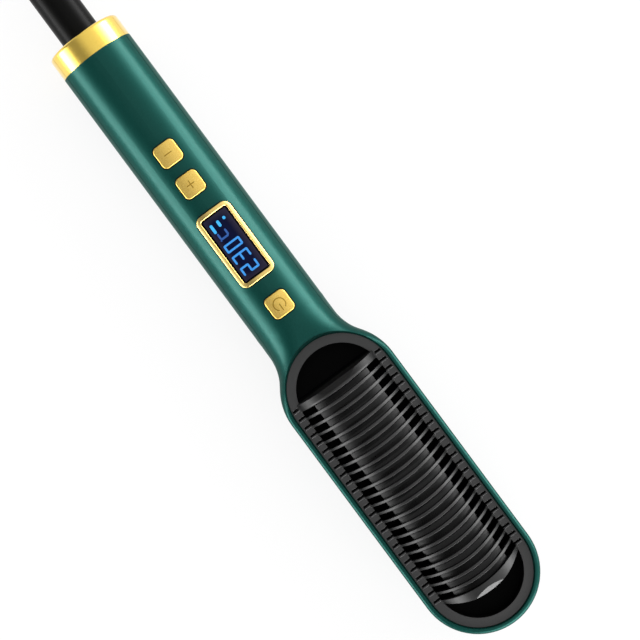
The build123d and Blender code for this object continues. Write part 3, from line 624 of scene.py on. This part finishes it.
finishes = {"greenLacquer": greenLacquer(greenSetup)}
finishes["combPlastic"] = combPlastic(combSetup)
finishes["plateCoating"] = plateCoating(plateSetup)
for finishName, setup in goldSetups.items():
    finishes[finishName] = goldPlate(finishName, setup)
for finishName, setup in plasticSetups.items():
    finishes[finishName] = mouldedPlastic(finishName, setup)
for finishName, setup in metalSetups.items():
    finishes[finishName] = brushedMetal(finishName, setup)
for finishName, lights in lightSetups.items():
    finishes[finishName] = segmentLight(finishName, lights)
finishes["smokedLens"] = smokedLens(lensSetup)
finishes["engravedGold"] = engravedGold(engravedSetup)
finishes["circuitBoard"] = circuitBoard(boardSetup)
finishes["micaSheet"] = micaSheet(micaSetup)
finishes["fuseGlass"] = fuseGlass(fuseSetup)

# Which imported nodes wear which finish
wearers = {
    "greenLacquer": ["front_housing", "back_housing"],
    "goldCollar": ["gold_collar"],
    "goldFrame": ["display_frame"],
    "goldButton": ["minus_button", "plus_button", "power_button"],
    "combPlastic": ["comb_frame", "heater_tray"],
    "plateCoating": ["heater_plate"],
    "sleevePlastic": ["swivel_sleeve"],
    "blackRubber": [
        "strain_relief", "cord_lead", "cord_hank", "cord_tie", "cord_tail", "plug_body",
    ],
    "smokedLens": ["display_lens"],
    "innerPlastic": ["swivel_bearing", "display_module"],
    "componentBlack": [
        "electrolytic_capacitor", "triac", "board_header",
        "minus_plunger", "plus_plunger", "power_plunger",
        "minus_switch", "plus_switch", "power_switch",
    ],
    "componentYellow": ["film_capacitor"],
    "ceramicWhite": ["ceramic_heaters"],
    "leadInsulation": ["brush_leads", "heater_leads"],
    "zincSteel": ["housing_screws", "tray_screws", "pressure_spring", "thermal_fuse"],
    "nickelPin": ["plug_pins"],
    "brassStrip": ["brush_contacts", "contact_rings"],
    "circuitBoard": ["control_board", "power_board"],
    "micaSheet": ["mica_sheet"],
    "fuseGlass": ["mains_fuse", "thermistor"],
}
for finishName, names in wearers.items():
    for nodeName in names:
        for worn in nodes[nodeName].material_slots:
            worn.material = finishes[finishName]
dressed = {nodeName for names in wearers.values() for nodeName in names}
print("finishes on", len(dressed), "nodes, bare:", sorted(set(nodes) - dressed))

# The mains cord, on one smooth line from the strain relief to the plug
cordSetup = {
    "diameter": 6.0 * mm,
    "length": 1.82,
    "hankFrom": 217.0 * mm,  # behind the strain relief
    "run": 70.0 * mm,
    "fold": 23.0 * mm,  # radius of the outermost folds
    "foldStep": 3.5 * mm,
    "folds": 11,
    "layerFolds": 3,
    "layer": 6.9 * mm,
    "draw": 5.0 * mm,  # how far a run leans towards the hank's middle
    "pointsPerFold": 8,
    "tie": 0.8 * mm,
    "stepsAlong": 6,
    "stepsRound": 5,
}
cordExit = Vector((cordStart, 0, axisHeight))
cordRadius = cordSetup["diameter"] / 2
hankX = -cordSetup["hankFrom"]
lowLayer = cordSetup["tie"] + cordRadius
topLayer = lowLayer + cordSetup["layer"] * (cordSetup["folds"] // cordSetup["layerFolds"])

# Points behind the exit: down to the table, and from the top of the hank to the plug
leadRoute = [
    (0.0, 0.0, axisHeight),
    (-0.022, 0.0, axisHeight),
    (-0.048, 0.0035, 0.0128),
    (-0.074, 0.0115, 0.0076),
    (-0.100, 0.019, 0.0044),
    (-0.128, 0.0223, lowLayer),
    (-0.171, 0.023, lowLayer),
    (-0.211, 0.023, lowLayer),
]
tailRoute = [
    (-0.211, -0.023, topLayer),
    (-0.191, -0.023, topLayer),
    (-0.171, -0.0165, 0.0155),
    (-0.152, -0.0076, 0.00685),
    (-0.132, -0.0076, 0.00685),
]


def hankPoints(setup):
    # Folds that spiral in and out by turns, with a climb along the run between two layers
    count = setup["pointsPerFold"]
    reach = 1 / cos(pi / (2 * count))  # the curve runs inside its control points
    # Along a run: share of its length, of the draw and of the climb
    drawing = ((0.125, 0, 0), (0.375, 1, 0.5), (0.625, 1, 0.5), (0.875, 0, 1))
    x, y, z, ahead = hankX, setup["fold"], lowLayer, -1
    points = []
    for n in range(setup["folds"] + 1):
        layer, step = divmod(n, setup["layerFolds"])
        rise = setup["layer"] if layer > 0 and step == 0 else 0.0
        inward = -setup["draw"] if y > 0 else setup["draw"]
        for share, drawn, climb in drawing:
            run = ahead * setup["run"] * share
            points.append((x + run, y + inward * drawn, z + rise * climb))
        x += ahead * setup["run"]
        z += rise
        if n == setup["folds"]:
            break
        if layer % 2 == 1:
            step = setup["layerFolds"] - 1 - step
        radius = setup["fold"] - setup["foldStep"] * step
        for k in range(count):
            angle = pi * (k + 0.5) / count
            out = ahead * radius * reach * sin(angle)
            points.append((x + out, y + ahead * radius * (1 - reach * cos(angle)), z))
        y += 2 * ahead * radius
        ahead = -ahead
    return points


def makeCord(setup):
    route = leadRoute + hankPoints(setup) + tailRoute
    points = [(cordExit.x + x, y, z) for x, y, z in route]
    curve = bpy.data.curves.new("mains_cord", "CURVE")
    curve.dimensions = "3D"
    spline = curve.splines.new("NURBS")
    spline.points.add(len(points) - 1)
    for point, place in zip(spline.points, points):
        point.co = (*place, 1)
    spline.order_u = 3
    spline.use_endpoint_u = True
    spline.resolution_u = setup["stepsAlong"]
    curve.bevel_depth = cordRadius
    curve.bevel_resolution = setup["stepsRound"]
    curve.use_fill_caps = True
    curve.materials.append(finishes["blackRubber"])
    cord = bpy.data.objects.new("mains_cord", curve)
    bpy.context.scene.collection.objects.link(cord)
    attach(cord, "handle")
    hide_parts("cord_lead", "cord_hank", "cord_tail")


makeCord(cordSetup)
print("cord laid")


# Marks that lie on the round of the handle
stripWidth = 0.4 * mm  # of the strips that follow the round


def layOnRound(bm, radius, lift, depth):
    # Cuts a flat outline across, bends it over the round and gives it a thickness
    low = min(v.co.y for v in bm.verts)
    high = max(v.co.y for v in bm.verts)
    cut = low + stripWidth
    while cut < high:
        geometry = bm.verts[:] + bm.edges[:] + bm.faces[:]
        bmesh.ops.bisect_plane(bm, geom=geometry, plane_co=(0, cut, 0), plane_no=(0, 1, 0))
        cut += stripWidth
    sunk = bmesh.ops.extrude_face_region(bm, geom=bm.faces[:])
    lowered = {e for e in sunk["geom"] if isinstance(e, bmesh.types.BMVert)}
    for vertex in bm.verts:
        drop = depth if vertex in lowered else 0.0
        vertex.co.z = axisHeight + sqrt(radius**2 - vertex.co.y**2) + lift - drop
    bmesh.ops.recalc_face_normals(bm, faces=bm.faces[:])


def addBar(bm, x, y, lengthX, lengthY, corner, steps=1):
    # A flat bar with cut corners, or round ones with more steps
    place = Matrix.Translation((x, y, 0)) @ Matrix.Diagonal((lengthX, lengthY, 1, 1))
    made = bmesh.ops.create_grid(bm, x_segments=1, y_segments=1, size=0.5, matrix=place)
    bmesh.ops.bevel(
        bm,
        geom=made["verts"],
        offset=corner,
        offset_type="OFFSET",
        segments=steps,
        profile=0.5,
        affect="VERTICES",
        material=-1,
    )


displaySetup = {
    "digits": "230",
    "firstDigit": 10.6 * mm,  # from the middle of the window towards the tip
    "pitch": 5.45 * mm,
    "width": 3.65 * mm,
    "height": 7.5 * mm,
    "stroke": 0.84 * mm,
    "corner": 0.45,  # of the stroke
    "gap": 0.03 * mm,  # between two segments
    "side": -0.7 * mm,  # the field sits a little off the middle line
    "unitPlace": (-6.1 * mm, -1.5 * mm),
    "unitSize": (2.9 * mm, 3.5 * mm),
    "degreePlace": (-4.3 * mm, -3.5 * mm),
    "degreeSize": 0.7 * mm,
    "levelEnd": -11.8 * mm,
    "levels": ((-3.5 * mm, 4.0 * mm), (-0.3 * mm, 2.8 * mm), (2.7 * mm, 1.3 * mm)),
    "levelStroke": 1.2 * mm,
    "levelCorner": 0.3,  # of the stroke, and of the degree mark's side
    "lift": 0.03 * mm,
    "depth": 0.2 * mm,
}
litSegments = {"2": "abged", "3": "abgcd", "0": "abcdef"}


def addDigit(bm, digit, x, y, setup):
    # Read from the cord side: the digit's top is towards -Y and its right towards -X
    stroke = setup["stroke"]
    corner = stroke * setup["corner"]
    halfWidth = (setup["width"] - stroke) / 2
    quarter = (setup["height"] - stroke) / 4
    bar = setup["width"] - setup["gap"]
    leg = 2 * quarter + stroke - setup["gap"]
    across = {"a": -2 * quarter, "g": 0.0, "d": 2 * quarter}
    along = {
        "b": (-halfWidth, -quarter),
        "c": (-halfWidth, quarter),
        "e": (halfWidth, quarter),
        "f": (halfWidth, -quarter),
    }
    for segment in litSegments[digit]:
        if segment in across:
            addBar(bm, x, y + across[segment], bar, stroke, corner)
        else:
            dx, dy = along[segment]
            addBar(bm, x + dx, y + dy, stroke, leg, corner)


def addDigits(bm, setup):
    for n, digit in enumerate(setup["digits"]):
        x = lensMiddle + setup["firstDigit"] - n * setup["pitch"]
        addDigit(bm, digit, x, setup["side"], setup)


def addUnit(bm, setup):
    # The unit's letter, open towards the cord, with the degree mark before it
    (unitX, unitY), (width, height) = setup["unitPlace"], setup["unitSize"]
    stroke = setup["stroke"]
    corner = stroke * setup["corner"]
    unitX += lensMiddle
    for dy in (-height / 2, height / 2):
        addBar(bm, unitX, unitY + dy, width, stroke, corner)
    addBar(bm, unitX + width / 2, unitY, stroke, height, corner)
    degreeX, degreeY = setup["degreePlace"]
    size = setup["degreeSize"]
    addBar(bm, lensMiddle + degreeX, degreeY, size, size, size * setup["levelCorner"])


def addLevels(bm, setup):
    stroke = setup["levelStroke"]
    for y, length in setup["levels"]:
        x = lensMiddle + setup["levelEnd"] + length / 2
        addBar(bm, x, y, length, stroke, stroke * setup["levelCorner"])


def makeDisplay(setup):
    for name, finish, addMarks in (
        ("display_digits", "digitLight", addDigits),
        ("display_unit", "unitLight", addUnit),
        ("display_levels", "levelLight", addLevels),
    ):
        bm = bmesh.new()
        addMarks(bm, setup)
        layOnRound(bm, lensHigh.z - axisHeight, setup["lift"], setup["depth"])
        finishPiece(bm, name, finishes[finish], "handle")


makeDisplay(displaySetup)
print("display lit")

symbolSetup = {
    "stroke": 0.42 * mm,
    "barLength": 3.6 * mm,
    "ringRadius": 2.5 * mm,
    "ringGap": 70.0,  # degrees
    "ringSteps": 40,
    "corner": 0.3,  # of the stroke
    "stemFrom": -0.2 * mm,
    "stemTo": 2.9 * mm,
    "lift": 0.02 * mm,
    "depth": 0.2 * mm,
}


def makeSymbols(setup):
    stroke, length = setup["stroke"], setup["barLength"]
    corner = stroke * setup["corner"]
    for name in ("minus", "plus", "power"):
        low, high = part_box(name + "_button")
        x = (low.x + high.x) / 2
        bm = bmesh.new()
        if name == "power":
            radius = setup["ringRadius"]
            half = radians(setup["ringGap"] / 2)
            ends = [
                bm.verts.new((x + (radius + d) * cos(half), (radius + d) * sin(half), 0))
                for d in (-stroke / 2, stroke / 2)
            ]
            start = bm.edges.new(ends)
            bmesh.ops.spin(
                bm,
                geom=ends + [start],
                cent=(x, 0, 0),
                axis=(0, 0, 1),
                angle=2 * (pi - half),
                steps=setup["ringSteps"],
                use_merge=False,
            )
            bmesh.ops.recalc_face_normals(bm, faces=bm.faces[:])
            stem = setup["stemTo"] - setup["stemFrom"]
            middle = (setup["stemTo"] + setup["stemFrom"]) / 2
            addBar(bm, x + middle, 0, stem, stroke, corner)
        else:
            addBar(bm, x, 0, stroke, length, corner)
        if name == "plus":
            for side in (-1, 1):
                arm = (length - stroke) / 2
                addBar(bm, x + side * (stroke + arm) / 2, 0, arm, stroke, corner)
        layOnRound(bm, high.z - axisHeight, setup["lift"], setup["depth"])
        body = name + "_button"
        finishPiece(bm, name + "_symbol", finishes["engravedGold"], body)


makeSymbols(symbolSetup)
print("buttons marked")

gapShadeSetup = {
    "width": 0.32 * mm,
    "out": 0.44 * mm,  # outer edge of the line from the side of what it runs round
    "flange": 0.7 * mm,  # hidden under the lacquered shell
    "corner": 2.4 * mm,
    "frameFlange": 0.8 * mm,
    "frameCorner": 3.4 * mm,
    "cornerSteps": 8,
    "lift": 0.02 * mm,
    "depth": 0.3 * mm,
}


def paintGapShade(name, flange, corner, setup):
    # A dark strip laid round a button or the display's frame, as painted shade in the gap between
    # it and the shell
    low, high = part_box(name)
    grow = 2 * (setup["out"] - flange)
    lengthX = high.x - low.x + grow
    lengthY = high.y - low.y + grow
    bm = bmesh.new()
    addBar(bm, (low.x + high.x) / 2, 0, lengthX, lengthY, corner, setup["cornerSteps"])
    inner = bm.faces[:]
    bmesh.ops.inset_region(
        bm, faces=inner, thickness=setup["width"], use_boundary=True, use_even_offset=True
    )
    bmesh.ops.delete(bm, geom=inner, context="FACES")
    layOnRound(bm, axisHeight, setup["lift"], setup["depth"])
    gapShade = name.replace("_button", "") + "_gap_shade"
    finishPiece(bm, gapShade, finishes["gapShadeBlack"], "handle")


paintGapShade("display_frame", gapShadeSetup["frameFlange"], gapShadeSetup["frameCorner"], gapShadeSetup)
for name in ("minus_button", "plus_button", "power_button"):
    paintGapShade(name, gapShadeSetup["flange"], gapShadeSetup["corner"], gapShadeSetup)
print("joints drawn")

# The fins run out over the comb's flat face as low ridges, one beside each slot; their moulding is
# painted lighter than the comb's as a painted highlight, on top of the glints of their rounded
# edges
ridgeSetup = {
    "count": 25,
    "pitch": 3.9 * mm,
    "first": 57.65 * mm,
    "from": 18.5 * mm,  # from the middle line
    "length": 3.1 * mm,
    "width": 0.62 * mm,
    "height": 0.28 * mm,
    "sunk": 0.3 * mm,
    "edge": 0.2 * mm,
    "edgeSteps": 3,
}


def makeRidges(setup):
    bm = bmesh.new()
    size = (setup["width"], setup["length"], setup["height"] + setup["sunk"], 1)
    middle = faceHeight + (setup["height"] - setup["sunk"]) / 2
    for n in range(setup["count"]):
        for side in (-1, 1):
            x = setup["first"] + n * setup["pitch"]
            y = side * (setup["from"] + setup["length"] / 2)
            place = Matrix.Translation((x, y, middle)) @ Matrix.Diagonal(size)
            bmesh.ops.create_cube(bm, size=1.0, matrix=place)
    upper = [e for e in bm.edges if all(v.co.z > faceHeight for v in e.verts)]
    bmesh.ops.bevel(
        bm,
        geom=upper,
        offset=setup["edge"],
        offset_type="OFFSET",
        segments=setup["edgeSteps"],
        profile=0.5,
        affect="EDGES",
        material=-1,
    )
    bmesh.ops.recalc_face_normals(bm, faces=bm.faces[:])
    finishPiece(bm, "fin_ridges", finishes["ridgeHighlightPlastic"], "handle")


makeRidges(ridgeSetup)
print("ridges set")

# Floor and world
studioSetup = {
    "floorHalf": 12.0,
    "floorColour": (0.86, 0.86, 0.86),
    "floorWhite": 0.85,  # share of the floor that the camera sees as plain white
    "brightest": 14.0,
    # How light the studio is by the sideways part of a direction: a soft light low at each
    # side, a screen that dims one shoulder, and pale above
    "levels": (
        (-1.0, 14.0), (-0.95, 8.5), (-0.89, 3.4), (-0.80, 0.6), (-0.72, 0.3), (-0.40, 0.3),
        (-0.24, 0.5), (0.0, 0.80), (0.6, 0.95), (0.78, 1.5), (0.89, 5.3), (0.96, 10.3),
        (1.0, 14.0),
    ),
    "tipFrom": 0.75,  # how far ahead a direction points where the tip's own light begins
    "tipLevel": 12.0,
}


def makeFloor(setup):
    material = bpy.data.materials.new("paleFloor")
    material.use_nodes = True
    tree = material.node_tree
    tree.nodes.clear()
    out = tree.nodes.new("ShaderNodeOutputMaterial")
    lit = shaderNode(tree, "ShaderNodeBsdfDiffuse", {"Color": (*setup["floorColour"], 1)})
    plain = shaderNode(tree, "ShaderNodeEmission", {"Strength": 1.0})
    rays = tree.nodes.new("ShaderNodeLightPath")
    seen = rays.outputs["Is Camera Ray"]
    for ray in ("Is Glossy Ray", "Is Transmission Ray"):
        seen = calculate(tree, "MAXIMUM", seen, rays.outputs[ray])
    share = shaderNode(tree, "ShaderNodeMath", operation="MULTIPLY")
    share.inputs[1].default_value = setup["floorWhite"]
    tree.links.new(seen, share.inputs[0])
    mixed = tree.nodes.new("ShaderNodeMixShader")
    tree.links.new(share.outputs["Value"], mixed.inputs["Fac"])
    tree.links.new(lit.outputs["BSDF"], mixed.inputs[1])
    tree.links.new(plain.outputs["Emission"], mixed.inputs[2])
    tree.links.new(mixed.outputs["Shader"], out.inputs["Surface"])
    bm = bmesh.new()
    bmesh.ops.create_grid(bm, x_segments=1, y_segments=1, size=setup["floorHalf"])
    floor = finishPiece(bm, "floor", material)


def makeWorld(setup):
    world = bpy.data.worlds.new("studio")
    world.use_nodes = True
    tree = world.node_tree
    tree.nodes.clear()
    out = tree.nodes.new("ShaderNodeOutputWorld")
    background = shaderNode(tree, "ShaderNodeBackground", {"Strength": setup["brightest"]})
    place = tree.nodes.new("ShaderNodeTexCoord")
    parts = tree.nodes.new("ShaderNodeSeparateXYZ")
    tree.links.new(place.outputs["Generated"], parts.inputs["Vector"])
    ramp = tree.nodes.new("ShaderNodeValToRGB")
    stops = ramp.color_ramp.elements
    for n, (sideways, level) in enumerate(setup["levels"]):
        position = (sideways + 1) / 2
        stop = stops[n] if n < 2 else stops.new(position)
        stop.position = position
        stop.color = (level / setup["brightest"],) * 3 + (1,)
    tree.links.new(spread(tree, parts.outputs["Y"], 0.0, 1.0, -1.0), ramp.inputs["Fac"])
    ahead = shaderNode(
        tree,
        "ShaderNodeMapRange",
        {"From Min": setup["tipFrom"], "To Max": setup["tipLevel"] / setup["brightest"]},
    )
    tree.links.new(parts.outputs["X"], ahead.inputs["Value"])
    both = shaderNode(tree, "ShaderNodeVectorMath", operation="ADD")
    tree.links.new(ramp.outputs["Color"], both.inputs[0])
    tree.links.new(ahead.outputs["Result"], both.inputs[1])
    tree.links.new(both.outputs["Vector"], background.inputs["Color"])
    tree.links.new(background.outputs["Background"], out.inputs["Surface"])
    bpy.context.scene.world = world


makeFloor(studioSetup)
makeWorld(studioSetup)
print("studio ready")
